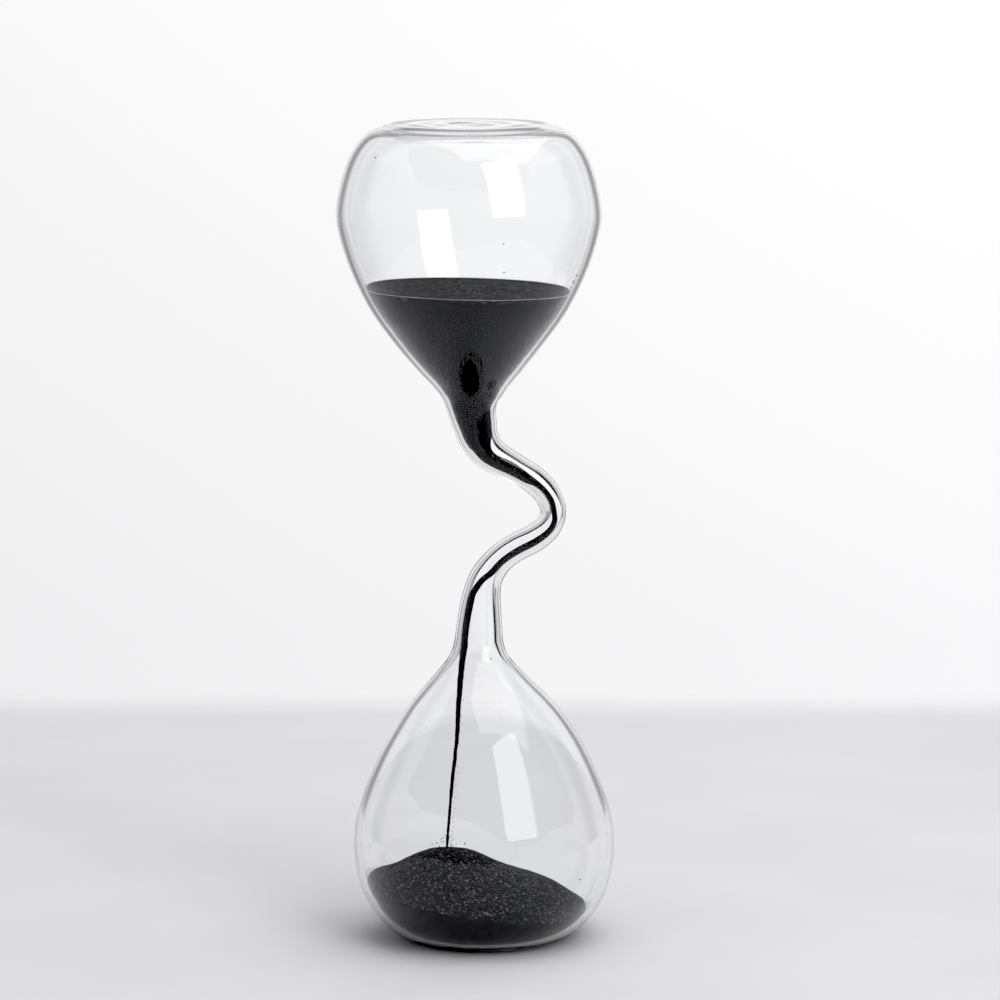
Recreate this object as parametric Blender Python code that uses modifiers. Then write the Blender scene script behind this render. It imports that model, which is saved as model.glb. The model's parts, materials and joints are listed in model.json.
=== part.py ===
"""Free-standing hourglass: two blown glass bulbs, a bent neck and black sand, caught while it runs.

Metres, +Z up. The origin is the centre of the flat base, and the neck bends out towards +X.
The sections of glass that a lampworker fuses are separate solids with a narrow weld gap.
"""

import math

import bmesh
import bpy

mm = 0.001

# ---- Glass ----
upper_length = 64.0 * mm  # flat top to the weld with the neck
upper_radius = 29.7 * mm
upper_flat_radius = 17.3 * mm
upper_mouth_radius = 5.6 * mm
upper_axis_x = -3.3 * mm  # the upper bulb stands a little to one side of the lower one
upper_mouth_x = -2.7 * mm
upper_lean = 14.0 * mm  # length of the bulb's cone that leans to its mouth
neck_length = 54.0 * mm  # weld to weld, measured upright
upper_flare = 20.0 * mm  # lengths of neck that widen to the bulbs
lower_flare = 23.0 * mm
bend_reach = 16.8 * mm  # furthest point of the bend, from the neck's lower end
tube_radius = 3.25 * mm
lower_length = 67.0 * mm  # flat base to the weld with the neck
lower_radius = 29.5 * mm
lower_flat_radius = 16.5 * mm
lower_mouth_radius = 5.4 * mm
lower_mouth_x = -1.2 * mm
lower_lean = 22.0 * mm  # length of the bulb's shoulder that leans to its mouth
bulb_wall = 1.5 * mm
neck_wall = 1.25 * mm
bend_pinch = 0.35 * mm  # the tube draws thinner at the bend
bend_thinning = 0.35 * mm  # and its bore lies nearer the outside there
bend_spread = 6.0 * mm  # half the length of neck that is drawn thinner
fill_hole_radius = 3.0 * mm
seal_recess = 0.4 * mm  # the seal stays below the flat top
seal_rounding = 0.8 * mm
seal_length = 3.2 * mm

# ---- Sand ----
upper_sand_depth = 27.3 * mm  # weld to the level surface
core_radius = 17.0 * mm
crater_slope = math.radians(32.0)
heap_height = 20.2 * mm  # base to the crest
heap_crest_x = -8.2 * mm
stream_radius = 0.7 * mm
stream_foot_radius = 0.35 * mm
stream_foot_x = -9.1 * mm

# ---- Fits ----
weld_gap = 0.3 * mm
sand_gap = 0.3 * mm  # sand to glass, and sand to sand

half_weld = weld_gap / 2
lower_weld_z = lower_length
upper_weld_z = lower_length + neck_length
top_z = upper_weld_z + upper_length
sand_level_z = upper_weld_z + upper_sand_depth

# ---- Outlines ----
# The bulbs: share of the radius, and share of the length from the flat end.
upper_outline = [
    (0.760, 0.030),
    (0.881, 0.100),
    (0.960, 0.200),
    (1.000, 0.310),
    (0.968, 0.405),
    (0.880, 0.525),
    (0.743, 0.652),
    (0.575, 0.761),
    (0.393, 0.864),
    (0.255, 0.938),
]
lower_outline = [
    (0.700, 0.025),
    (0.815, 0.070),
    (0.905, 0.130),
    (0.965, 0.197),
    (1.000, 0.300),
    (0.982, 0.405),
    (0.925, 0.495),
    (0.835, 0.594),
    (0.718, 0.694),
    (0.558, 0.799),
    (0.388, 0.882),
    (0.256, 0.949),
]
# The neck's centre line, from its upper end: share of the bend's reach, and of the neck's length.
neck_route = [
    (-0.052, 0.057),
    (0.008, 0.123),
    (0.161, 0.189),
    (0.473, 0.245),
    (0.738, 0.296),
    (0.911, 0.354),
    (1.000, 0.427),
    (0.929, 0.493),
    (0.744, 0.543),
    (0.488, 0.584),
    (0.271, 0.635),
    (0.107, 0.707),
    (0.042, 0.780),
    (0.015, 0.870),
]
# The heap's slopes: distance from the crest, and drop below it.
heap_outline = [
    (0.0 * mm, 0.0 * mm),
    (5.0 * mm, 0.9 * mm),
    (8.0 * mm, 2.1 * mm),
    (11.5 * mm, 4.0 * mm),
    (16.0 * mm, 6.4 * mm),
    (21.0 * mm, 8.1 * mm),
    (26.0 * mm, 10.0 * mm),
    (31.0 * mm, 13.0 * mm),
    (37.0 * mm, 17.5 * mm),
]
# The sand in the neck: share of the neck's length, where it lies across the bore (1 is the
# outside of the bend, -1 the inside), and its radius where the bore leaves it room.
neck_sand_stations = [
    (0.00, 0.0, 4.7 * mm),
    (0.10, 0.0, 2.9 * mm),
    (0.26, -1.0, 1.0 * mm),
    (0.41, -1.0, 0.6 * mm),
    (0.49, 1.0, 0.6 * mm),
    (0.71, 1.0, 0.6 * mm),
    (0.88, -1.0, 0.7 * mm),
    (1.00, -1.0, stream_radius),
]

turn_steps = 40
bulb_steps = 2  # to each stretch of an outline
neck_steps = 3
tube_sides = 12
stream_sides = 8
merge_distance = 0.01 * mm

for old in list(bpy.data.objects):
    bpy.data.objects.remove(old)

parts = bpy.data.collections.new("hourglass")
cutters = bpy.data.collections.new("cutters")
bpy.context.scene.collection.children.link(parts)
bpy.context.scene.collection.children.link(cutters)


# ---- Lines: lists of points (x, z) ----
def smooth_line(points, steps):
    """An even curve through all the points, with steps to each stretch."""
    first = [2 * a - b for a, b in zip(points[0], points[1])]
    last = [2 * a - b for a, b in zip(points[-1], points[-2])]
    padded = [first, *points, last]
    line = []
    for stretch in zip(padded, padded[1:], padded[2:], padded[3:]):
        for step in range(steps):
            t = step / steps
            line.append(tuple(blend(*values, t) for values in zip(*stretch)))
    return [*line, tuple(points[-1])]


def blend(before, start, end, after, t):
    """A Catmull-Rom curve's value between start and end."""
    bend = 2 * before - 5 * start + 4 * end - after
    twist = 3 * start - before - 3 * end + after
    return start + 0.5 * ((end - before) * t + bend * t**2 + twist * t**3)


def normals(line):
    """The unit vector to the right of the line at each point."""
    found = []
    for i in range(len(line)):
        x0, z0 = line[max(i - 1, 0)]
        x1, z1 = line[min(i + 1, len(line) - 1)]
        run = math.hypot(x1 - x0, z1 - z0)
        found.append(((z1 - z0) / run, (x0 - x1) / run))
    return found


def inset(line, first_depth, last_depth):
    """The line moved to its right, by a depth that changes evenly along it."""
    moved = []
    for i, ((x, z), (nx, nz)) in enumerate(zip(line, normals(line))):
        depth = first_depth + (last_depth - first_depth) * i / (len(line) - 1)
        moved.append((x + nx * depth, z + nz * depth))
    return moved


def up_to(line, level):
    """A rising line, cut off at a level."""
    kept = []
    for (x0, z0), (x1, z1) in zip(line, line[1:]):
        kept.append((x0, z0))
        if z1 >= level:
            kept.append((x0 + (x1 - x0) * (level - z0) / (z1 - z0), level))
            break
    return kept


def smooth_step(share):
    share = min(max(share, 0.0), 1.0)
    return share * share * (3 - 2 * share)


def at(stations, share):
    """The values that stations hold at a share of the length."""
    for start, end in zip(stations, stations[1:]):
        if share <= end[0]:
            break
    t = smooth_step((share - start[0]) / (end[0] - start[0]))
    return [a + (b - a) * t for a, b in zip(start[1:], end[1:])]


# ---- Objects ----
def material(name, colour, roughness, transmission):
    made = bpy.data.materials.new(name)
    made.use_nodes = True
    shader = made.node_tree.nodes["Principled BSDF"]
    shader.inputs["Base Color"].default_value = (*colour, 1.0)
    shader.inputs["Roughness"].default_value = roughness
    shader.inputs["Metallic"].default_value = 0.0
    shader.inputs["Transmission Weight"].default_value = transmission
    return made


def add(name, data, finish=None):
    """An object in the hourglass, or a hidden cutter if it has no finish."""
    made = bpy.data.objects.new(name, data)
    if finish is None:
        cutters.objects.link(made)
        made.hide_render = True
        made.display_type = "WIRE"
    else:
        parts.objects.link(made)
        data.materials.append(finish)
    return made


def turned(name, outline, finish=None, axis_x=0.0):
    """A solid turned about Z from a closed outline whose outer side runs down."""
    pairs = [(i, (i + 1) % len(outline)) for i in range(len(outline))]
    off_axis = [(i, j) for i, j in pairs if outline[i][0] > 0 or outline[j][0] > 0]
    mesh = bpy.data.meshes.new(name)
    mesh.from_pydata([(x, 0.0, z) for x, z in outline], off_axis, [])
    made = add(name, mesh, finish)
    made.location.x = axis_x
    screw = made.modifiers.new("turn", "SCREW")
    screw.steps = turn_steps
    screw.render_steps = turn_steps
    screw.use_merge_vertices = True
    screw.merge_threshold = merge_distance
    screw.use_smooth_shade = True
    return made


def tube(name, stations, sides, finish=None):
    """A round tube with closed ends through stations of (x, z, radius)."""
    curve = bpy.data.curves.new(name, "CURVE")
    curve.dimensions = "3D"
    curve.bevel_depth = mm
    curve.bevel_resolution = (sides - 4) // 2
    curve.use_fill_caps = True
    line = curve.splines.new("POLY")
    line.points.add(len(stations) - 1)
    for point, (x, z, radius) in zip(line.points, stations):
        point.co = (x, 0.0, z, 1.0)
        point.radius = radius / mm
    guide = add(name + "_line", curve)
    bpy.context.view_layer.update()
    view = bpy.context.evaluated_depsgraph_get()
    mesh = bpy.data.meshes.new_from_object(guide.evaluated_get(view))
    bpy.data.objects.remove(guide)
    work = bmesh.new()
    work.from_mesh(mesh)
    bmesh.ops.remove_doubles(work, verts=work.verts, dist=merge_distance)
    bmesh.ops.recalc_face_normals(work, faces=work.faces)
    work.to_mesh(mesh)
    work.free()
    mesh.shade_smooth()
    return add(name, mesh, finish)


def lean(made, start_z, weld_z, shift):
    """The turned solid, with its end at the weld moved sideways and the rest eased into it."""
    bpy.context.view_layer.update()
    view = bpy.context.evaluated_depsgraph_get()
    mesh = bpy.data.meshes.new_from_object(made.evaluated_get(view))
    made.modifiers.clear()
    made.data = mesh
    for vertex in mesh.vertices:
        vertex.co.x += shift * smooth_step((vertex.co.z - start_z) / (weld_z - start_z))


def cut(made, cutter, operation):
    boolean = made.modifiers.new(operation.lower(), "BOOLEAN")
    boolean.operation = operation
    boolean.solver = "EXACT"
    boolean.object = cutter


glass = material("clear_glass", (0.94, 0.96, 0.95), 0.03, 1.0)
sand = material("black_sand", (0.012, 0.012, 0.013), 0.75, 0.0)

# ---- Upper bulb: pressed flat at the top, where the fill hole is ----
upper_outer = [(fill_hole_radius, top_z)]
upper_outer += smooth_line(
    [
        (upper_flat_radius, top_z),
        *((r * upper_radius, top_z - z * upper_length) for r, z in upper_outline),
        (upper_mouth_radius, upper_weld_z + half_weld),
    ],
    bulb_steps,
)
upper_inner = inset(upper_outer, bulb_wall, neck_wall)
upper_inner[-1] = (upper_mouth_radius - neck_wall, upper_weld_z + half_weld)
upper_bulb = turned("upper_bulb", upper_outer + upper_inner[::-1], glass, upper_axis_x)
upper_lean_z = upper_weld_z + upper_lean
upper_shift = upper_mouth_x - upper_axis_x
lean(upper_bulb, upper_lean_z, upper_weld_z, upper_shift)

# ---- Flame seal: a rounded plug of glass in the fill hole ----
seal_radius = fill_hole_radius - weld_gap
seal_top_z = top_z - seal_recess
seal_outline = [
    (0.0, seal_top_z),
    (seal_radius - seal_rounding, seal_top_z),
    (seal_radius, seal_top_z - seal_rounding),
    (seal_radius, seal_top_z - seal_length + 2 * seal_rounding),
    (seal_radius - seal_rounding, seal_top_z - seal_length + seal_rounding / 2),
    (0.0, seal_top_z - seal_length),
]
turned("fill_seal", seal_outline, glass, upper_axis_x)

# ---- Lower bulb: pressed flat at the base, with a shoulder that leans ----
lower_outer = smooth_line(
    [
        (lower_mouth_radius, lower_weld_z - half_weld),
        *((r * lower_radius, z * lower_length) for r, z in lower_outline[::-1]),
        (lower_flat_radius, 0.0),
    ],
    bulb_steps,
)
lower_outer.append((0.0, 0.0))
lower_inner = inset(lower_outer, neck_wall, bulb_wall)
lower_inner[0] = (lower_mouth_radius - neck_wall, lower_weld_z - half_weld)
lower_bulb = turned("lower_bulb", lower_outer + lower_inner[::-1], glass)
lean(lower_bulb, lower_weld_z - lower_lean, lower_weld_z, lower_mouth_x)

# ---- Bent neck: a tube that widens to both bulbs, with its bore nearer the bend's outside ----
neck_top_z = upper_weld_z - half_weld
neck_foot_z = lower_weld_z + half_weld
straight_end = 1.0 * mm
neck_line = smooth_line(
    [
        (upper_mouth_x, neck_top_z - straight_end),
        *((lower_mouth_x + x * bend_reach, upper_weld_z - z * neck_length) for x, z in neck_route),
        (lower_mouth_x, neck_foot_z + straight_end),
    ],
    neck_steps,
)
neck_line = [(upper_mouth_x, neck_top_z), *neck_line, (lower_mouth_x, neck_foot_z)]
lengths = [0.0]
for start, end in zip(neck_line, neck_line[1:]):
    lengths.append(lengths[-1] + math.dist(start, end))
neck_run = lengths[-1]
apex_run = max(zip(neck_line, lengths))[1]
outside = [(-nx, -nz) for nx, nz in normals(neck_line)]

neck_stations = []
bore_stations = []
for (x, z), (nx, nz), run in zip(neck_line, outside, lengths):
    upper_share = max(0.0, 1 - run / upper_flare) ** 1.6
    lower_share = 1 - smooth_step((neck_run - run) / lower_flare)
    bend_share = math.exp(-(((run - apex_run) / bend_spread) ** 2))
    radius = (
        tube_radius
        + (upper_mouth_radius - tube_radius) * upper_share
        + (lower_mouth_radius - tube_radius) * lower_share
        - bend_pinch * bend_share
    )
    shift = bend_thinning * bend_share
    neck_stations.append((x, z, radius))
    bore_stations.append((x + nx * shift, z + nz * shift, radius - neck_wall))

overshoot = 1.0 * mm
bore_above = (upper_mouth_x, neck_top_z + overshoot, bore_stations[0][2])
bore_below = (lower_mouth_x, neck_foot_z - overshoot, bore_stations[-1][2])
bent_neck = tube("bent_neck", neck_stations, tube_sides, glass)
neck_bore = tube("neck_bore", [bore_above, *bore_stations, bore_below], tube_sides)
cut(bent_neck, neck_bore, "DIFFERENCE")

# ---- Upper sand: a bed with a conical crater, and the core that fills the crater ----
upper_cavity = inset(upper_inner, sand_gap, sand_gap)[::-1]
bed_side = up_to(upper_cavity, sand_level_z)
crater_z = sand_level_z - core_radius * math.tan(crater_slope)
bed_outline = [
    *bed_side[::-1],
    (0.0, bed_side[0][1]),
    (0.0, crater_z),
    (core_radius, sand_level_z),
]
upper_sand_bed = turned("upper_sand_bed", bed_outline, sand, upper_axis_x)
lean(upper_sand_bed, upper_lean_z, upper_weld_z, upper_shift)
core_outline = [
    (0.0, sand_level_z),
    (core_radius - sand_gap / math.sin(crater_slope), sand_level_z),
    (0.0, crater_z + sand_gap / math.cos(crater_slope)),
]
turned("upper_sand_core", core_outline, sand, upper_axis_x)

# ---- Sand in the neck: packed at the top, then a band that lies along the bore ----
sand_stations = []
for (x, z, bore), (nx, nz), run in zip(bore_stations, outside, lengths):
    side, radius = at(neck_sand_stations, run / neck_run)
    radius = min(radius, bore - sand_gap)
    shift = side * (bore - sand_gap - radius)
    sand_stations.append((x + nx * shift, z + nz * shift, radius))
tube("neck_sand", sand_stations, tube_sides, sand)

# ---- Falling stream: from the neck's sand to the heap, thinner as it speeds up ----
stream_top = (sand_stations[-1][0], lower_weld_z - half_weld)
stream_foot = (stream_foot_x, heap_height + sand_gap)
stream_points = 8
stream_stations = []
for i in range(stream_points):
    share = i / (stream_points - 1)
    x = stream_top[0] + (stream_foot[0] - stream_top[0]) * share
    z = stream_top[1] + (stream_foot[1] - stream_top[1]) * share
    radius = stream_foot_radius + (stream_radius - stream_foot_radius) * (1 - share) ** 2
    stream_stations.append((x, z, radius))
tube("sand_stream", stream_stations, stream_sides, sand)

# ---- Heap: what the bulb's cavity and the mound's slopes have in common ----
lower_cavity = inset(lower_inner, sand_gap, sand_gap)[::-1]
heap_side = up_to(lower_cavity, heap_height + bulb_wall)
heap_body = [(0.0, heap_side[-1][1]), *heap_side[::-1]]
heap = turned("sand_heap", heap_body, sand)
slope_line = [(x, heap_height - drop) for x, drop in smooth_line(heap_outline, bulb_steps)]
mound_body = [*slope_line, (slope_line[-1][0], -overshoot), (0.0, -overshoot)]
mound = turned("mound", mound_body, axis_x=heap_crest_x)
cut(heap, mound, "INTERSECT")
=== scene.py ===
"""A free-standing hourglass of hand-blown glass with a bent neck and running black sand."""

import json
import math

import bpy
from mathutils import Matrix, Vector

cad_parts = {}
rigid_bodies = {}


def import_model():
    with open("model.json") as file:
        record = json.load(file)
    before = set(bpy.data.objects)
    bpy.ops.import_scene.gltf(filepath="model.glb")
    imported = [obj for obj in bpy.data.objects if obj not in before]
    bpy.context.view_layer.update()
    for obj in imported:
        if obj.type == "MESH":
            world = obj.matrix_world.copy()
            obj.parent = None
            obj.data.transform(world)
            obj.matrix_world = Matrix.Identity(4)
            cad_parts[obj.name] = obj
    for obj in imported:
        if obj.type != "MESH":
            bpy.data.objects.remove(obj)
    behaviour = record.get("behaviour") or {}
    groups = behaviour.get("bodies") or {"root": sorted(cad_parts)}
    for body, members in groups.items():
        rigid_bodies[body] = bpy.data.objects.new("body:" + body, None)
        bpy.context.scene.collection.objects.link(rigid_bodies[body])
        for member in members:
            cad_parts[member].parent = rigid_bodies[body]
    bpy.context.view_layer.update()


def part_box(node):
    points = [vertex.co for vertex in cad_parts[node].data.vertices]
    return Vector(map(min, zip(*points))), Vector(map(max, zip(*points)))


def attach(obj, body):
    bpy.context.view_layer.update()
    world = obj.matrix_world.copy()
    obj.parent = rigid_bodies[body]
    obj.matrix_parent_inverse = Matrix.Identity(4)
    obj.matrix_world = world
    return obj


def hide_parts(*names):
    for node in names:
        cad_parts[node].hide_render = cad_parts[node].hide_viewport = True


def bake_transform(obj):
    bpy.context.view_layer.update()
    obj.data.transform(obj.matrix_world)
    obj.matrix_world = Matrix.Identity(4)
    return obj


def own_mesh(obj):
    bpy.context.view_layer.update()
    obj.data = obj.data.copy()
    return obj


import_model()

# ---- Glass envelope ----
# One seamless skin of clear borosilicate glass about 1.5 mm thick: two bulbs blown from tube and
# pressed flat at their ends, fused to a narrow neck tube that was bent in the flame. The sand
# went in through a hole in the top flat, which is closed by a small sunk flame seal.
mm = 0.001
lower_length = 67.0 * mm
lower_radius = 29.5 * mm
lower_flat_radius = 16.5 * mm
lower_mouth_radius = 5.4 * mm
lower_mouth_x = -1.2 * mm
lower_lean = 22.0 * mm
neck_length = 54.0 * mm
bend_reach = 16.8 * mm
tube_radius = 3.25 * mm
upper_flare = 20.0 * mm
flare_curve = 1.6
lower_flare = 23.0 * mm
bend_pinch = 0.35 * mm
bend_thinning = 0.35 * mm
bend_spread = 6.0 * mm
upper_radius = 29.7 * mm
upper_flat_radius = 17.3 * mm
upper_mouth_radius = 5.6 * mm
upper_axis_x = -3.3 * mm
upper_mouth_x = -2.7 * mm
upper_lean = 14.0 * mm
bulb_wall = 1.5 * mm
neck_wall = 1.25 * mm
neck_overlap = 1.0 * mm
seal_radius = 3.0 * mm
seal_recess = 0.08 * mm
seal_drop = 0.5 * mm

neck_foot_z = lower_length
neck_top_z = lower_length + neck_length
top_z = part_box("upper_bulb")[1][2]
upper_length = top_z - neck_top_z

# Share of the radius, and share of the length from the flat end.
upper_outline = [
    (0.760, 0.030),
    (0.881, 0.100),
    (0.960, 0.200),
    (1.000, 0.310),
    (0.968, 0.405),
    (0.880, 0.525),
    (0.743, 0.652),
    (0.575, 0.761),
    (0.393, 0.864),
    (0.255, 0.938),
]
lower_outline = [
    (0.700, 0.025),
    (0.815, 0.070),
    (0.905, 0.130),
    (0.965, 0.197),
    (1.000, 0.300),
    (0.982, 0.405),
    (0.925, 0.495),
    (0.835, 0.594),
    (0.718, 0.694),
    (0.558, 0.799),
    (0.388, 0.882),
    (0.256, 0.949),
]
# The neck's centre line, from its upper end: share of the bend's reach, and of the neck's length.
neck_route = [
    (-0.052, 0.057),
    (0.008, 0.123),
    (0.161, 0.189),
    (0.473, 0.245),
    (0.738, 0.296),
    (0.911, 0.354),
    (1.000, 0.427),
    (0.929, 0.493),
    (0.744, 0.543),
    (0.488, 0.584),
    (0.271, 0.635),
    (0.107, 0.707),
    (0.042, 0.780),
    (0.015, 0.870),
]


def smooth_line(points, steps):
    """An even curve through all the points, with steps to each stretch."""
    first = [2 * a - b for a, b in zip(points[0], points[1])]
    last = [2 * a - b for a, b in zip(points[-1], points[-2])]
    padded = [first, *points, last]
    line = []
    for stretch in zip(padded, padded[1:], padded[2:], padded[3:]):
        for step in range(steps):
            t = step / steps
            line.append(tuple(
                b + 0.5 * (
                    (c - a) * t
                    + (2 * a - 5 * b + 4 * c - d) * t**2
                    + (3 * b - a - 3 * c + d) * t**3
                )
                for a, b, c, d in zip(*stretch)
            ))
    return [*line, tuple(points[-1])]


def smooth_step(share):
    """The share eased at both ends, and held at 0 and 1 beyond them."""
    share = min(max(share, 0.0), 1.0)
    return share * share * (3 - 2 * share)


def normals(line):
    """The unit vector to the left of the line at each of its points (x, z)."""
    found = []
    for i in range(len(line)):
        before, after = line[max(i - 1, 0)], line[min(i + 1, len(line) - 1)]
        run = math.dist(before, after)
        found.append(((before[1] - after[1]) / run, (after[0] - before[0]) / run))
    return found


def lower_axis(z):
    """The lower bulb's axis leans over to its mouth."""
    return lower_mouth_x * smooth_step((z - lower_length + lower_lean) / lower_lean)


def upper_axis(z):
    """The upper bulb's axis leans over to its mouth."""
    share = smooth_step((neck_top_z + upper_lean - z) / upper_lean)
    return upper_axis_x + (upper_mouth_x - upper_axis_x) * share


def thinned(line, walls):
    """A bulb's outline (radius, z) moved in by its wall, which runs evenly through the walls."""
    moved = []
    for i, ((r, z), (nr, nz)) in enumerate(zip(line, normals(line))):
        place = i / (len(line) - 1) * (len(walls) - 1)
        start = min(int(place), len(walls) - 2)
        wall = walls[start] + (walls[start + 1] - walls[start]) * (place - start)
        moved.append((max(r + nr * wall, 0.0), z + nz * wall))
    return moved


def flow_out(rings, weld_z):
    """The skin with its step at a weld smoothed away, as the flame leaves it."""
    reach = 3.0 * mm
    bridge_steps = 12
    below = [ring for ring in rings if ring[1] < weld_z - reach]
    above = rings[len(below):]
    while above[0][1] < weld_z + reach:
        above.pop(0)
    start, end = below[-1], above[0]
    height = end[1] - start[1]
    before = [(b - a) * height / (start[1] - below[-2][1]) for a, b in zip(below[-2], start)]
    after = [(b - a) * height / (above[1][1] - end[1]) for a, b in zip(end, above[1])]
    bridge = []
    for i in range(1, bridge_steps):
        t = i / bridge_steps
        bridge.append(tuple(
            a * (1 + 2 * t) * (1 - t) ** 2 + da * t * (1 - t) ** 2
            + b * t * t * (3 - 2 * t) - db * t * t * (1 - t)
            for a, da, b, db in zip(start, before, end, after)
        ))
    return [*below, *bridge, *above]


def start_skin(name, material):
    """An empty mesh in edit mode, with its finish."""
    bpy.ops.object.select_all(action="DESELECT")
    mesh = bpy.data.meshes.new(name)
    mesh.materials.append(material)
    made = bpy.data.objects.new(name, mesh)
    bpy.context.scene.collection.objects.link(made)
    bpy.context.view_layer.objects.active = made
    made.select_set(True)
    bpy.ops.object.mode_set(mode="EDIT")
    return made


def draw_skin(rings, sides, inside=False):
    """A closed skin drawn from ring to ring, each (x, z, lean, radius), starting from a disc."""
    x, z, lean, radius = rings[0]
    bpy.ops.mesh.select_all(action="DESELECT")
    bpy.ops.mesh.primitive_circle_add(
        vertices=sides, radius=radius, fill_type="NGON",
        location=(x, 0.0, z), rotation=(0.0, lean, 0.0),
    )
    for next_x, next_z, next_lean, next_radius in rings[1:]:
        bpy.ops.mesh.extrude_region_move(
            TRANSFORM_OT_translate={"value": (next_x - x, 0.0, next_z - z)}
        )
        centre = (next_x, 0.0, next_z)
        if abs(next_radius - radius) > 1e-9:
            size = next_radius / radius
            bpy.ops.transform.resize(value=(size, size, size), center_override=centre)
        if abs(next_lean - lean) > 1e-6:
            bpy.ops.transform.rotate(
                value=lean - next_lean, orient_axis="Y", center_override=centre
            )
        x, z, lean, radius = next_x, next_z, next_lean, next_radius
    bpy.ops.mesh.select_linked()
    bpy.ops.mesh.normals_make_consistent(inside=inside)
    bpy.ops.mesh.select_all(action="DESELECT")


def end_skin(made):
    """Back to object mode, shaded smooth."""
    bpy.ops.object.mode_set(mode="OBJECT")
    bpy.ops.object.shade_smooth()
    made.select_set(False)


def linear(code):
    """A linear colour from an sRGB hex code."""
    values = [int(code[i:i + 2], 16) / 255 for i in (1, 3, 5)]
    return (*(v / 12.92 if v <= 0.04045 else ((v + 0.055) / 1.055) ** 2.4 for v in values), 1.0)


def add_node(tree, kind, inputs=None, **settings):
    """A node of that kind with its settings, and a value or a link for each input."""
    node = tree.nodes.new(kind)
    for name, value in settings.items():
        setattr(node, name, value)
    for name, value in (inputs or {}).items():
        if isinstance(value, bpy.types.NodeSocket):
            tree.links.new(value, node.inputs[name])
        else:
            node.inputs[name].default_value = value
    return node


def set_ramp(node, stops):
    """The stops of a colour ramp: (position, hex code)."""
    ramp = node.color_ramp
    while len(ramp.elements) < len(stops):
        ramp.elements.new(1.0)
    for element, (position, code) in zip(ramp.elements, stops):
        element.position = position
        element.color = linear(code)


# Borosilicate glass, blown and fire polished: clear, with the faintest cool tone in places
# and slow waves in its surface that bend what is seen through it.
glass = bpy.data.materials.new("blown borosilicate glass")
glass.use_nodes = True
tree = glass.node_tree
shader = tree.nodes["Principled BSDF"]
shader.inputs["Transmission Weight"].default_value = 1.0
shader.inputs["IOR"].default_value = 1.472
shader.inputs["Roughness"].default_value = 0.0
place = add_node(tree, "ShaderNodeTexCoord")
wave_length = 22.0 * mm
waves = add_node(tree, "ShaderNodeTexNoise", {
    "Vector": place.outputs["Object"],
    "Scale": 1 / wave_length,
    "Detail": 1.0,
})
wave_relief = add_node(tree, "ShaderNodeBump", {
    "Height": waves.outputs["Fac"],
    "Strength": 0.1,
    "Distance": 0.4 * mm,
})
tree.links.new(wave_relief.outputs["Normal"], shader.inputs["Normal"])
tone = add_node(tree, "ShaderNodeValToRGB", {"Fac": waves.outputs["Fac"]})
set_ramp(tone, [(0.35, "#FFFFFF"), (0.7, "#FEFFFF")])
tree.links.new(tone.outputs["Color"], shader.inputs["Base Color"])

# The outlines, from the base up.
bulb_steps = 4
lower_line = smooth_line(
    [
        (lower_flat_radius, 0.0),
        *((r * lower_radius, z * lower_length) for r, z in lower_outline),
        (lower_mouth_radius, neck_foot_z),
    ],
    bulb_steps,
)
upper_line = smooth_line(
    [
        (upper_mouth_radius, neck_top_z),
        *((r * upper_radius, top_z - z * upper_length) for r, z in upper_outline[::-1]),
        (upper_flat_radius, top_z),
    ],
    bulb_steps,
)
# The bulbs' walls thin towards the neck's.
lower_inner_line = thinned(lower_line, [bulb_wall, bulb_wall, neck_wall])
upper_inner_line = thinned(upper_line, [neck_wall, bulb_wall, bulb_wall])

# The neck's stations: (x, z, lean, outer radius, bore's x, bore's z, bore's radius).
neck_steps = 5
neck_line = smooth_line(
    [
        (upper_mouth_x, neck_top_z - neck_overlap),
        *((lower_mouth_x + x * bend_reach, neck_top_z - z * neck_length) for x, z in neck_route),
        (lower_mouth_x, neck_foot_z + neck_overlap),
    ],
    neck_steps,
)[::-1]
runs = [0.0]
for start, end in zip(neck_line, neck_line[1:]):
    runs.append(runs[-1] + math.dist(start, end))
neck_run = runs[-1]
apex_run = max(zip(neck_line, runs))[1]
neck_stations = []
for (x, z), (nx, nz), run in zip(neck_line, normals(neck_line), runs):
    upper_share = max(0.0, 1 - (neck_run - run + neck_overlap) / upper_flare) ** flare_curve
    lower_share = 1 - smooth_step((run + neck_overlap) / lower_flare)
    bend_share = math.exp(-(((run - apex_run) / bend_spread) ** 2))
    radius = (
        tube_radius
        + (upper_mouth_radius - tube_radius) * upper_share
        + (lower_mouth_radius - tube_radius) * lower_share
        - bend_pinch * bend_share
    )
    shift = -bend_thinning * bend_share
    lean = math.atan2(nz, -nx)
    neck_stations.append((x, z, lean, radius, x + nx * shift, z + nz * shift, radius - neck_wall))

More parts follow.
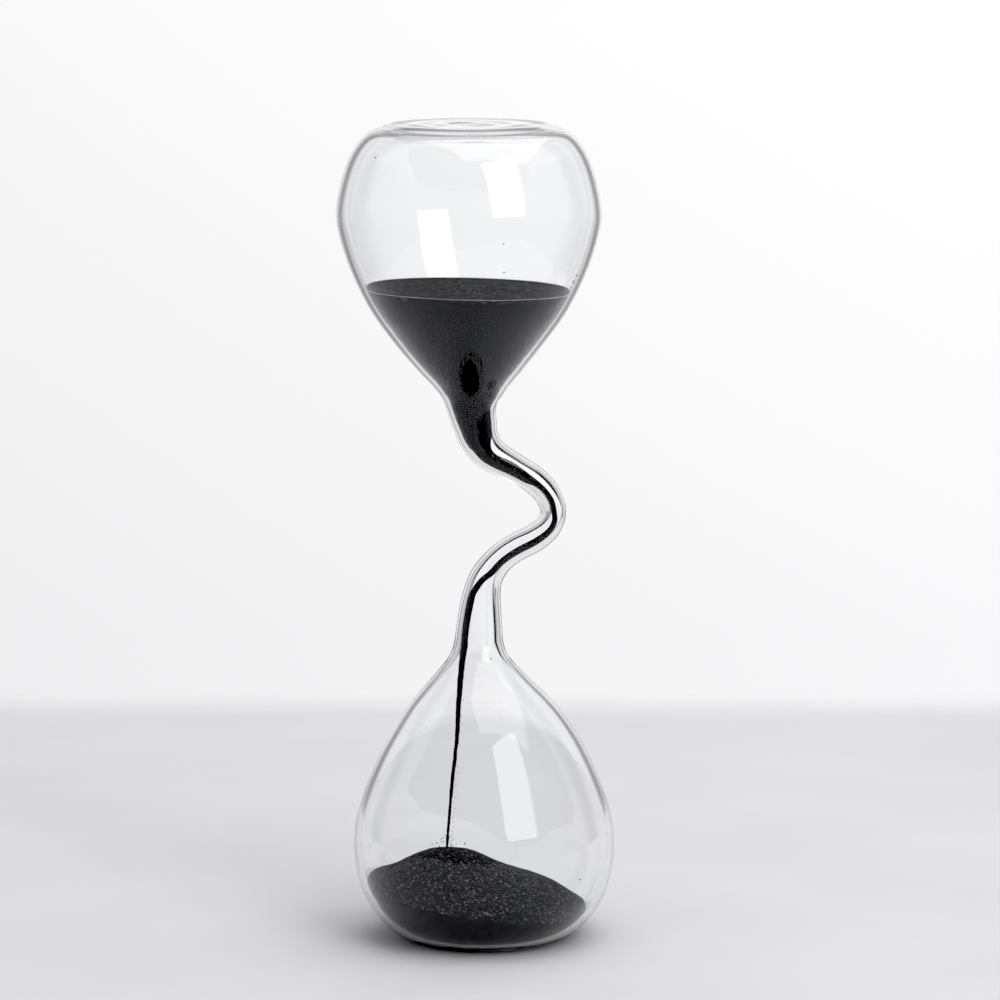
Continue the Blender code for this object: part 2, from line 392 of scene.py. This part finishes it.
# The base dishes in a little inside its contact ring, and the top flat sinks at the seal.
base_dish = 0.35 * mm
glass_sides = 128
base_radii = [0.4, 2, 4, 6, 8, 10, 12, 13.5, 14.7, 15.6, 16.1]
outer_rings = [
    (0.0, base_dish * (1 - smooth_step(r * mm / lower_flat_radius)), 0.0, r * mm)
    for r in base_radii
]
outer_rings += [(lower_axis(z), z, 0.0, r) for r, z in lower_line]
outer_rings += [station[:4] for station in neck_stations]
outer_rings += [(upper_axis(z), z, 0.0, r) for r, z in upper_line]
top_radii = [
    16.9, 16.3, 15.4, 14, 12.5, 11, 9.5, 8, 6.5, 5.2, 4.4, 3.8, 3.3, 2.9, 2.5, 1.9, 1.2, 0.4,
]
ripple_depth = 0.06 * mm
ripple_length = 6.0 * mm
seal_edge = 1.4 * mm
ripple_drift = 0.1
for r in top_radii:
    inward = upper_flat_radius - r * mm
    ripple = ripple_depth * (1 - math.cos(inward / ripple_length * 2 * math.pi))
    sink = seal_recess * smooth_step((seal_radius + 0.8 * mm - r * mm) / seal_edge)
    outer_rings.append((
        upper_axis_x - ripple_drift * inward, top_z - ripple * 0.5 - sink, 0.0, r * mm,
    ))

inner_rings = [(0.0, bulb_wall, 0.0, r * mm) for r in (0.4, 3, 6, 9, 12, 14)]
inner_rings += [(lower_axis(z), z, 0.0, r) for r, z in lower_inner_line]
inner_rings += [(x, z, lean, radius) for _, _, lean, _, x, z, radius in neck_stations]
inner_rings += [(upper_axis(z), z, 0.0, r) for r, z in upper_inner_line]
inner_flat_radius = 14
bead_edge = 2.6 * mm
bead_drift = 0.12
for r in (inner_flat_radius, 12, 10, 8, 6.5, 5.2, 4.2, 3.6, 3.1, 2.6, 2.0, 1.3, 0.4):
    drop = seal_drop * smooth_step((seal_radius + 1.0 * mm - r * mm) / bead_edge)
    inner_rings.append((
        upper_axis_x + bead_drift * (inner_flat_radius - r) * mm,
        top_z - bulb_wall - drop, 0.0, r * mm,
    ))

for weld_z in (neck_foot_z, neck_top_z):
    outer_rings = flow_out(outer_rings, weld_z)
    inner_rings = flow_out(inner_rings, weld_z)
envelope = start_skin("glass_envelope", glass)
draw_skin(outer_rings, glass_sides)
draw_skin(inner_rings, glass_sides, inside=True)
end_skin(envelope)
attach(envelope, "glass")
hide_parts("upper_bulb", "fill_seal", "bent_neck", "lower_bulb")

# ---- Sand in the upper bulb and the neck ----
# Fine black iron sand, washed and sieved. It lies against the glass with a nearly level top and
# narrows into the neck, where it slides down the low side of the bore as a thin band.
upper_sand_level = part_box("upper_sand_core")[1][2]
crater_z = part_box("upper_sand_core")[0][2]
core_radius = 17.0 * mm
grain_gap = 0.08 * mm
sand_sides = 160
surface_lean = math.radians(1.3)

# Share of the neck's length from its top, the sand band's middle to the left of the neck's, and
# its radius where the bore leaves it room.
neck_sand = [
    (0.000, 0.00 * mm, 9.00 * mm),
    (0.090, 0.00 * mm, 3.30 * mm),
    (0.150, 0.85 * mm, 1.65 * mm),
    (0.227, 0.60 * mm, 1.50 * mm),
    (0.297, 0.75 * mm, 1.15 * mm),
    (0.347, 0.30 * mm, 0.66 * mm),
    (0.410, 0.00 * mm, 0.62 * mm),
    (0.450, 0.05 * mm, 0.62 * mm),
    (0.490, -0.75 * mm, 0.66 * mm),
    (0.576, -0.85 * mm, 0.80 * mm),
    (0.640, -0.95 * mm, 0.80 * mm),
    (0.705, -0.80 * mm, 0.75 * mm),
    (0.757, -0.50 * mm, 0.75 * mm),
    (0.795, 0.70 * mm, 0.75 * mm),
    (0.835, 1.90 * mm, 0.80 * mm),
    (0.880, 3.10 * mm, 0.85 * mm),
    (1.000, 3.40 * mm, 0.80 * mm),
]

# Black sand: dull dark grains, and a few near white ones as painted glints. The grains are about
# 0.2 mm across, and are drawn at 0.35 mm so that they show.
sand = bpy.data.materials.new("sieved black iron sand")
sand.use_nodes = True
tree = sand.node_tree
shader = tree.nodes["Principled BSDF"]
grain_size = 0.35 * mm
place = add_node(tree, "ShaderNodeTexCoord")
grains = add_node(tree, "ShaderNodeTexVoronoi", {
    "Vector": place.outputs["Object"],
    "Scale": 1 / grain_size,
})
grain_tone = add_node(tree, "ShaderNodeSeparateColor", {"Color": grains.outputs["Color"]})
grain_colour_and_glints = add_node(tree, "ShaderNodeValToRGB", {"Fac": grain_tone.outputs["Red"]})
# The top stop paints a few grains near white as painted glints; the lower stops are the grains'
# own dark tone.
set_ramp(grain_colour_and_glints, [
    (0.0, "#0E0E0F"),
    (0.5, "#262628"),
    (0.86, "#48484A"),
    (0.965, "#9A9A9C"),
])
# Painted light and shade: on top the colour is lightened and darkened in clumps, as if lumps of
# grains caught the light, and faces that turn away from up are painted darker, as painted shade.
clump_size = 1.1 * mm
clumps = add_node(tree, "ShaderNodeTexNoise", {
    "Vector": place.outputs["Object"],
    "Scale": 1 / clump_size,
    "Detail": 3.0,
    "Roughness": 0.6,
})
# Painted light and shade of the clumps: the colour is darkened and lightened in lumps.
painted_clump_light = add_node(tree, "ShaderNodeValToRGB", {"Fac": clumps.outputs["Fac"]})
set_ramp(painted_clump_light, [(0.33, "#7C7C7C"), (0.66, "#F0F0F0")])
facing = add_node(tree, "ShaderNodeNewGeometry")
facing_parts = add_node(tree, "ShaderNodeSeparateXYZ", {"Vector": facing.outputs["Normal"]})
# Painted top light: faces looking up keep the full colour, faces looking sideways or down are
# painted darker.
painted_top_light = add_node(tree, "ShaderNodeMapRange", {
    "Value": facing_parts.outputs["Z"],
    "From Min": 0.0,
    "From Max": 0.6,
    "To Min": 0.12,
    "To Max": 1.0,
})
sand_colour_and_light = grain_colour_and_glints.outputs["Color"]
for factor in (painted_clump_light.outputs["Color"], painted_top_light.outputs["Result"]):
    mixed = add_node(tree, "ShaderNodeMix", data_type="RGBA", blend_type="MULTIPLY")
    mixed.inputs[0].default_value = 1.0
    tree.links.new(sand_colour_and_light, mixed.inputs[6])
    tree.links.new(factor, mixed.inputs[7])
    sand_colour_and_light = mixed.outputs[2]
tree.links.new(sand_colour_and_light, shader.inputs["Base Color"])
grain_polish = add_node(tree, "ShaderNodeMapRange", {
    "Value": grain_tone.outputs["Green"],
    "From Min": 0.9,
    "From Max": 1.0,
    "To Min": 0.8,
    "To Max": 0.3,
})
tree.links.new(grain_polish.outputs["Result"], shader.inputs["Roughness"])
shader.inputs["Specular IOR Level"].default_value = 0.06
grain_relief = add_node(tree, "ShaderNodeBump", {
    "Height": grains.outputs["Distance"],
    "Strength": 0.3,
    "Distance": 0.15 * mm,
}, invert=True)
tree.links.new(grain_relief.outputs["Normal"], shader.inputs["Normal"])


def wall_at(line, level):
    """A bulb's inner radius at a level, or nothing above and below the bulb."""
    for (r0, z0), (r1, z1) in zip(line, line[1:]):
        if min(z0, z1) <= level <= max(z0, z1):
            return r0 + (r1 - r0) * (level - z0) / (z1 - z0)
    return 0.0


def roughen(made, depth, size, line, axis):
    """Lowers the free surface unevenly by up to a depth, in lumps of that size.

    It eases off towards the glass, whose inner line and axis are given, and stops just before it.
    """
    look_below = 0.5 * mm
    keep_clear = 0.2 * mm
    ease = 1.2 * mm
    free = made.vertex_groups.new(name="free")
    for vertex in made.data.vertices:
        x, y, z = vertex.co
        gap = wall_at(line, z - look_below) - math.hypot(x - axis(z), y)
        free.add([vertex.index], smooth_step((gap - keep_clear) / ease), "REPLACE")
    lumps = bpy.data.textures.new(made.name + "_lumps", "CLOUDS")
    lumps.noise_scale = size
    lumps.noise_depth = 2
    bpy.context.view_layer.objects.active = made
    modifier = made.modifiers.new("lumps", "DISPLACE")
    modifier.texture = lumps
    modifier.direction = "Z"
    modifier.vertex_group = "free"
    modifier.strength = depth
    modifier.mid_level = 1.0
    bpy.ops.object.modifier_apply(modifier="lumps")


def stations_at(stations, share):
    """The values that stations hold at a share of the length."""
    for start, end in zip(stations, stations[1:]):
        if share <= end[0]:
            break
    t = (share - start[0]) / (end[0] - start[0])
    return [a + (b - a) * t for a, b in zip(start[1:], end[1:])]


sand_line = smooth_line(neck_sand, 6)
poured_rings = []
# From this height up the sand fills the glass from wall to wall.
full_from_z = 115.5 * mm
for (x, z, lean, _, _, _, bore), (nx, nz), run in zip(neck_stations, normals(neck_line), runs):
    if z >= full_from_z:
        break
    offset, radius = stations_at(sand_line, 1 - run / neck_run)
    radius = min(radius, bore - grain_gap)
    offset = max(min(offset, bore - grain_gap - radius), radius + grain_gap - bore)
    poured_rings.append((x + nx * offset, z + nz * offset, lean, radius))
foot_x, _, _, foot_radius = poured_rings[0]
poured_rings.insert(0, (foot_x, neck_foot_z, 0.0, foot_radius))
rim_clearance = 1.5 * mm
poured_rings += [
    (x, z, lean, r - grain_gap)
    for x, z, lean, r in inner_rings if full_from_z <= z < upper_sand_level - rim_clearance
]
rise = math.tan(surface_lean) * wall_at(upper_inner_line, upper_sand_level)
left_wall = wall_at(upper_inner_line, upper_sand_level + rise) - grain_gap
right_wall = wall_at(upper_inner_line, upper_sand_level - rise) - grain_gap
surface_radius = (left_wall + right_wall) / 2
surface_x = upper_axis_x + (right_wall - left_wall) / 2
poured_rings.append((surface_x, upper_sand_level, surface_lean, surface_radius))
surface_steps = 10
for i in range(1, surface_steps + 1):
    share = i / surface_steps
    poured_rings.append((
        surface_x + (upper_axis_x - surface_x) * share,
        upper_sand_level,
        surface_lean,
        surface_radius + (core_radius - surface_radius) * share,
    ))
rim_width = 0.1 * mm
poured_rings.insert(-1, (
    upper_axis_x, upper_sand_level, surface_lean, core_radius + rim_width,
))
crater_depth = upper_sand_level - crater_z
for share in (0.99, 0.9, 0.8, 0.7, 0.6, 0.5, 0.4, 0.3, 0.2, 0.1, 0.02):
    poured_rings.append((
        upper_axis_x, crater_z + crater_depth * share, surface_lean * share, core_radius * share,
    ))
level_lump_depth = 0.6 * mm
level_lump_size = 1.1 * mm
poured = start_skin("upper_sand", sand)
draw_skin(poured_rings, sand_sides)
end_skin(poured)
roughen(poured, level_lump_depth, level_lump_size, upper_inner_line, upper_axis)
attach(poured, "glass")
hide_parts("upper_sand_bed", "neck_sand")

# ---- Sand in the crater ----
# The middle of the upper sand, which runs out first. It fills the bed's cone to the level. Its
# level goes down as the sand leaves, while its tip stays at the bottom of the cone.
crater_lift = 0.05 * mm
core_gap = 0.01 * mm
core_rings = [
    (
        upper_axis_x, crater_z + crater_lift + crater_depth * share,
        surface_lean * share, core_radius * share,
    )
    for share in (0.02, 0.2, 0.4, 0.6, 0.8, 0.9, 0.99)
]
core_rings.append((upper_axis_x, upper_sand_level, surface_lean, core_radius - core_gap))
core_rings.append((upper_axis_x, upper_sand_level, surface_lean, core_radius - rim_width))
surface_rings = 38
for i in range(1, surface_rings):
    core_rings.append((
        upper_axis_x, upper_sand_level, surface_lean, core_radius * (1 - i / surface_rings),
    ))
core = start_skin("crater_sand", sand)
draw_skin(core_rings, sand_sides)
end_skin(core)
roughen(core, level_lump_depth, level_lump_size, upper_inner_line, upper_axis)
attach(core, "core")
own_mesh(core)
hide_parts("upper_sand_core")

# ---- Heap ----
# The sand that has landed. It lies in the base of the lower bulb with its crest under the
# stream, to the left of the middle, and its slopes ease off where they reach the glass.
heap_crest_x = -8.2 * mm
heap_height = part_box("sand_heap")[1][2]
heap_foot = bulb_wall + grain_gap
# The mound's distance out from the crest, and its drop below it.
heap_outline = [
    (0.0 * mm, 0.0 * mm),
    (5.0 * mm, 0.7 * mm),
    (8.0 * mm, 1.8 * mm),
    (11.5 * mm, 3.6 * mm),
    (16.0 * mm, 5.7 * mm),
    (21.0 * mm, 7.6 * mm),
    (26.0 * mm, 9.7 * mm),
    (31.0 * mm, 13.0 * mm),
    (37.0 * mm, 17.5 * mm),
]
heap_rings = [(0.0, heap_foot, 0.0, r * mm) for r in (0.4, 4, 8, 12, 14)]
above_crest = 2 * mm
heap_rings += [
    (0.0, max(z, heap_foot), 0.0, r - grain_gap)
    for r, z in lower_inner_line if z < heap_height + above_crest
]
mound_foot_z = -3.0 * mm
mound_rings = [(heap_crest_x, mound_foot_z, 0.0, r * mm) for r in (0.5, 20, 37)]
mound_line = smooth_line(heap_outline, 10)[1:][::-1]
mound_rings += [(heap_crest_x, heap_height - drop, 0.0, r) for r, drop in mound_line]
heap = start_skin("sand_heap_visible", sand)
draw_skin(heap_rings, sand_sides)
end_skin(heap)
mound = start_skin("mound", sand)
draw_skin(mound_rings, sand_sides)
end_skin(mound)
bpy.context.view_layer.objects.active = heap
heap.select_set(True)
cut = heap.modifiers.new("cut", "BOOLEAN")
cut.operation = "INTERSECT"
cut.solver = "EXACT"
cut.object = mound
bpy.ops.object.modifier_apply(modifier="cut")
heap.select_set(False)
bpy.data.objects.remove(mound)
heap_lump_depth = 0.22 * mm
heap_lump_size = 2.2 * mm
roughen(heap, heap_lump_depth, heap_lump_size, lower_inner_line, lower_axis)
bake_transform(heap)
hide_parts("sand_heap")

# ---- Stream ----
# Sand in free fall from the neck's mouth to the heap's crest. It thins as it speeds up, and its
# edge is ragged because the grains leave the neck in small clumps.
stream_path = [
    # The stream's middle, its height and its radius.
    (foot_x, neck_foot_z, foot_radius),
    (-4.9 * mm, 63.8 * mm, 0.72 * mm),
    (-5.7 * mm, 54.5 * mm, 0.60 * mm),
    (-6.2 * mm, 45.3 * mm, 0.46 * mm),
    (-7.2 * mm, 36.0 * mm, 0.40 * mm),
    (-8.0 * mm, 26.7 * mm, 0.32 * mm),
    (-8.5 * mm, heap_height + 0.1 * mm, 0.30 * mm),
]
stream_steps = 30
stream_sides = 12
stream_rings = [(x, z, 0.0, r) for x, z, r in smooth_line(stream_path, stream_steps)]
stream = start_skin("falling_sand", sand)
draw_skin(stream_rings, stream_sides)
end_skin(stream)


def uneven_skin(made, name, size, depth, mid_level):
    """Swells and thins a piece by noise of that size and depth, and applies it."""
    noise = bpy.data.textures.new(made.name + "_" + name, "CLOUDS")
    noise.noise_scale = size
    noise.noise_depth = 2
    bpy.context.view_layer.objects.active = made
    uneven = made.modifiers.new(name, "DISPLACE")
    uneven.texture = noise
    uneven.strength = depth
    uneven.mid_level = mid_level
    bpy.ops.object.modifier_apply(modifier=name)


uneven_skin(stream, "clumps", 1.3 * mm, 0.3 * mm, 0.5)
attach(stream, "glass")
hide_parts("sand_stream")

# ---- Dust on the bore's wall ----
# Fine sand that clings in thin strands along the neck's bore, on the sides that the sliding band
# has left: above the bend, inside it, and down the right side into the lower bulb's shoulder.
dust_gap = 0.03 * mm
dust_sides = 8
taper_points = 5
shoulder_foot_z = 61.0 * mm
weld_clearance = 1.5 * mm
dust_strands = [
    # From and to this height, side of the bore (1 is the left of a line going up), radius, and
    # whether it runs on over the lower bulb's shoulder.
    (98.0 * mm, 114.5 * mm, -1, 0.30 * mm, False),
    (79.0 * mm, 98.0 * mm, 1, 0.16 * mm, False),
    (68.0 * mm, 80.5 * mm, -1, 0.26 * mm, True),
]
dust = start_skin("clinging_dust", sand)
for low_z, high_z, side, thickness, runs_on in dust_strands:
    depth_in = dust_gap + thickness
    strand = [
        (x + nx * side * (bore - depth_in), z + nz * side * (bore - depth_in), lean)
        for (_, _, lean, _, x, z, bore), (nx, nz) in zip(neck_stations, normals(neck_line))
        if low_z <= z <= high_z
    ]
    if runs_on:
        shoulder = [
            (lower_axis(z) + r - depth_in, z, 0.0)
            for r, z in lower_inner_line if shoulder_foot_z < z < neck_foot_z - weld_clearance
        ]
        strand = shoulder + strand
    last = len(strand) - 1
    draw_skin([
        (x, z, lean, thickness * (0.15 + 0.85 * smooth_step(min(i, last - i) / taper_points)))
        for i, (x, z, lean) in enumerate(strand)
    ], dust_sides)
end_skin(dust)
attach(dust, "glass")

# ---- Painted highlight line at the sand's edge ----
# A thin, uneven pale line all round the level of the upper sand, where it lies against the glass:
# a painted highlight, drawn as a grey ring of its own.

# Painted highlight: dull and grey, a little lighter and darker along its length.
painted_rim_highlight = bpy.data.materials.new("painted rim highlight")
painted_rim_highlight.use_nodes = True
tree = painted_rim_highlight.node_tree
shader = tree.nodes["Principled BSDF"]
shader.inputs["Roughness"].default_value = 0.9
shader.inputs["Specular IOR Level"].default_value = 0.1
place = add_node(tree, "ShaderNodeTexCoord")
speck_size = 0.5 * mm
specks = add_node(tree, "ShaderNodeTexNoise", {
    "Vector": place.outputs["Object"],
    "Scale": 1 / speck_size,
    "Detail": 2.0,
})
rim_highlight_tone = add_node(tree, "ShaderNodeValToRGB", {"Fac": specks.outputs["Fac"]})
set_ramp(rim_highlight_tone, [(0.35, "#2E2D2B"), (0.65, "#6E6B66")])
tree.links.new(rim_highlight_tone.outputs["Color"], shader.inputs["Base Color"])
# The ring of painted highlight, just inside the glass at the sand's level.
rim_highlight_line = start_skin("rim_highlight_line", painted_rim_highlight)
rim_highlight_radius = 0.12 * mm
bpy.ops.mesh.primitive_torus_add(
    major_segments=glass_sides, minor_segments=6,
    major_radius=surface_radius - rim_highlight_radius, minor_radius=rim_highlight_radius,
    location=(surface_x, 0.0, upper_sand_level), rotation=(0.0, surface_lean, 0.0),
)
end_skin(rim_highlight_line)
uneven_skin(rim_highlight_line, "patchiness", 3.0 * mm, 0.10 * mm, 0.75)
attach(rim_highlight_line, "glass")

# ---- Stray grains ----
# Single grains of the same sand: a few cling to the inside of the bulbs, some hop off the crest
# where the stream lands, and some fall beside it.
stray = start_skin("stray_grains", sand)
wall_grains = [
    # Bulb's inner line, axis, height, degrees round from the right, radius.
    (upper_inner_line, upper_axis, 151.9 * mm, -14, 0.24 * mm),
    (upper_inner_line, upper_axis, 151.0 * mm, -20, 0.17 * mm),
    (upper_inner_line, upper_axis, 150.2 * mm, -12, 0.26 * mm),
    (upper_inner_line, upper_axis, 149.4 * mm, -24, 0.20 * mm),
    (upper_inner_line, upper_axis, 148.9 * mm, -10, 0.22 * mm),
    (upper_inner_line, upper_axis, 149.6 * mm, 70, 0.20 * mm),
    (upper_inner_line, upper_axis, 178.2 * mm, 215, 0.17 * mm),
    (upper_inner_line, upper_axis, 160.8 * mm, -74, 0.15 * mm),
    (lower_inner_line, lower_axis, 64.6 * mm, -60, 0.16 * mm),
    (lower_inner_line, lower_axis, 17.2 * mm, -40, 0.18 * mm),
    (lower_inner_line, lower_axis, 19.0 * mm, 165, 0.18 * mm),
    (lower_inner_line, lower_axis, 15.1 * mm, 100, 0.20 * mm),
]
wall_grain_gap = 0.2 * mm
spots = []
for line, axis, z, turn, size in wall_grains:
    reach = wall_at(line, z) - size - wall_grain_gap
    angle = math.radians(turn)
    spots.append((axis(z) + reach * math.cos(angle), reach * math.sin(angle), z, size))
# Hops round the crest: even steps of the golden angle, lower the further out they land.
hop_count = 34
golden_angle = 2.39996
nearest_hop = 0.7
hop_spread = 4.6
highest_hop = 2.9
hop_fall = 1.9
crest_slope = 0.06
stray_radius = 0.11
for i in range(hop_count):
    turn = i * golden_angle
    share = i / hop_count
    reach = (nearest_hop + hop_spread * share ** 1.3) * mm
    hop = (highest_hop - hop_fall * share) * (0.25 + 0.75 * abs(math.sin(i * 1.7))) * mm
    spots.append((
        heap_crest_x + reach * math.cos(turn), reach * math.sin(turn),
        heap_height - crest_slope * reach + hop,
        (stray_radius + 0.05 * math.sin(i * 2.3)) * mm,
    ))
# Falls beside the stream: more of them the lower it gets.
fall_count = 30
fall_top_z = neck_foot_z - 8.0 * mm
fall_foot_x = -8.1 * mm
fall_lean = 3.6 * mm
fall_beside = 0.62
fall_depth = 0.35 * mm
for i in range(fall_count):
    z = heap_height + (fall_top_z - heap_height) * ((i + 0.5) / fall_count) ** 1.5
    share = (z - heap_height) / (neck_foot_z - heap_height)
    spots.append((
        fall_foot_x + fall_lean * share + (fall_beside + 0.25 * math.sin(i * 1.9)) * mm,
        fall_depth * math.sin(i * 2.7), z, (stray_radius + 0.03 * math.sin(i * 3.1)) * mm,
    ))
for x, y, z, size in spots:
    bpy.ops.mesh.primitive_ico_sphere_add(subdivisions=1, radius=size, location=(x, y, z))
bpy.ops.mesh.select_all(action="SELECT")
grain_unevenness = 0.03 * mm
bpy.ops.transform.vertex_random(offset=grain_unevenness, seed=4)
bpy.ops.object.mode_set(mode="OBJECT")
stray.select_set(False)
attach(stray, "glass")

# ---- Table ----
# A plain white board under the hourglass, wide enough for the shadow and the reflections in the
# glass. Its far edge is lost in the light behind it.
board_half = 265.0 * mm
board_size = 620.0 * mm
mottle_size = 60.0 * mm
# White painted board: matt, nearly even, with a faint mottle from the roller.
board = bpy.data.materials.new("matt white board")
board.use_nodes = True
tree = board.node_tree
shader = tree.nodes["Principled BSDF"]
shader.inputs["Roughness"].default_value = 0.7
shader.inputs["Specular IOR Level"].default_value = 0.2
place = add_node(tree, "ShaderNodeTexCoord")
mottle = add_node(tree, "ShaderNodeTexNoise", {
    "Vector": place.outputs["Object"],
    "Scale": 1 / mottle_size,
    "Detail": 2.0,
})
board_tone = add_node(tree, "ShaderNodeValToRGB", {"Fac": mottle.outputs["Fac"]})
set_ramp(board_tone, [(0.3, "#E6E6E8"), (0.7, "#EBEBEC")])
tree.links.new(board_tone.outputs["Color"], shader.inputs["Base Color"])
place_parts = add_node(tree, "ShaderNodeSeparateXYZ", {"Vector": place.outputs["Object"]})
sides = [
    add_node(tree, "ShaderNodeMath", {0: place_parts.outputs[axis]}, operation="ABSOLUTE")
    for axis in ("X", "Y")
]
reach = add_node(tree, "ShaderNodeMath", {
    0: sides[0].outputs[0],
    1: sides[1].outputs[0],
}, operation="MAXIMUM")
# The board fades out towards its edges, so that none of them shows.
fade = add_node(tree, "ShaderNodeMapRange", {
    "Value": reach.outputs[0],
    "From Min": board_half - 20.0 * mm,
    "From Max": board_half + 25.0 * mm,
}, interpolation_type="SMOOTHSTEP")
clear = add_node(tree, "ShaderNodeBsdfTransparent")
edge = add_node(tree, "ShaderNodeMixShader", {0: fade.outputs["Result"]})
tree.links.new(shader.outputs[0], edge.inputs[1])
tree.links.new(clear.outputs[0], edge.inputs[2])
tree.links.new(edge.outputs[0], tree.nodes["Material Output"].inputs["Surface"])
bpy.ops.object.select_all(action="DESELECT")
bpy.ops.mesh.primitive_plane_add(size=board_size, location=(0.0, 0.0, 0.0))
table = bpy.context.object
table.name = "table"
table.data.materials.append(board)

# ---- Studio ----
# A white tent all round, darker where its panels leave gaps, so that the glass shows its edges.
# A tall soft light stands to the right of the camera and a large one hangs overhead.
studio = bpy.data.worlds.new("studio")
bpy.context.scene.world = studio
studio.use_nodes = True
tree = studio.node_tree
sky = add_node(tree, "ShaderNodeTexCoord")
direction = add_node(tree, "ShaderNodeSeparateXYZ", {"Vector": sky.outputs["Generated"]})
depth = add_node(tree, "ShaderNodeMapRange", {
    "Value": direction.outputs["Y"],
    "From Min": -1.0,
    "From Max": 1.0,
})
panels = add_node(tree, "ShaderNodeValToRGB", {"Fac": depth.outputs["Result"]})
set_ramp(panels, [
    (0.00, "#BABABC"),
    (0.62, "#BABABC"),
    (0.67, "#5A5A5C"),
    (0.745, "#5A5A5C"),
    (0.80, "#D8D8DA"),
    (0.915, "#D8D8DA"),
    (0.935, "#9A9A9C"),
    (0.963, "#9A9A9C"),
    (0.980, "#FAFAFC"),
    (1.00, "#FDFDFE"),
])
side_light = add_node(tree, "ShaderNodeMapRange", {
    "Value": direction.outputs["X"],
    "From Min": -0.12,
    "From Max": 0.10,
    "To Min": 0.93,
    "To Max": 1.02,
})
high_light = add_node(tree, "ShaderNodeMapRange", {
    "Value": direction.outputs["Z"],
    "From Min": -0.18,
    "From Max": -0.05,
    "To Min": 0.95,
    "To Max": 1.03,
})
light = add_node(tree, "ShaderNodeMath", {
    0: side_light.outputs["Result"],
    1: high_light.outputs["Result"],
}, operation="MULTIPLY")
panel_light = add_node(tree, "ShaderNodeBackground", {
    "Color": panels.outputs["Color"],
    "Strength": light.outputs[0],
})
tree.links.new(panel_light.outputs[0], tree.nodes["World Output"].inputs["Surface"])

# Each light: name, place, aim, width and height in metres, and power in watts.
for name, place_at, aim, size, power in (
    ("tall_soft_light", (0.75, -1.05, 0.85), (0.0, 0.0, 0.1), (0.8, 1.2), 7.0),
    ("top_soft_light", (0.3, 0.1, 1.5), (0.0, 0.0, 0.0), (2.0, 1.6), 12.5),
):
    lamp = bpy.data.lights.new(name, "AREA")
    lamp.shape = "RECTANGLE"
    lamp.size, lamp.size_y = size
    lamp.energy = power
    holder = bpy.data.objects.new(name, lamp)
    holder.location = place_at
    holder.rotation_euler = (Vector(aim) - Vector(place_at)).to_track_quat("-Z", "Y").to_euler()
    bpy.context.scene.collection.objects.link(holder)

camera_data = bpy.data.cameras.new("camera")
camera_data.lens = 168.5
camera_data.sensor_width = 36.0
camera_data.clip_start = 0.05
camera = bpy.data.objects.new("camera", camera_data)
camera.location = (0.0036, -1.041, 0.260)
camera.rotation_euler = (math.radians(81.28), 0.0, 0.0)
bpy.context.scene.collection.objects.link(camera)
bpy.context.scene.camera = camera

# A slightly raised black point keeps the sand black behind the glass's own reflections.
look = bpy.context.scene.view_settings
look.view_transform = "Standard"
look.use_curve_mapping = True
look.curve_mapping.black_level = (0.040, 0.040, 0.040)
look.curve_mapping.update()
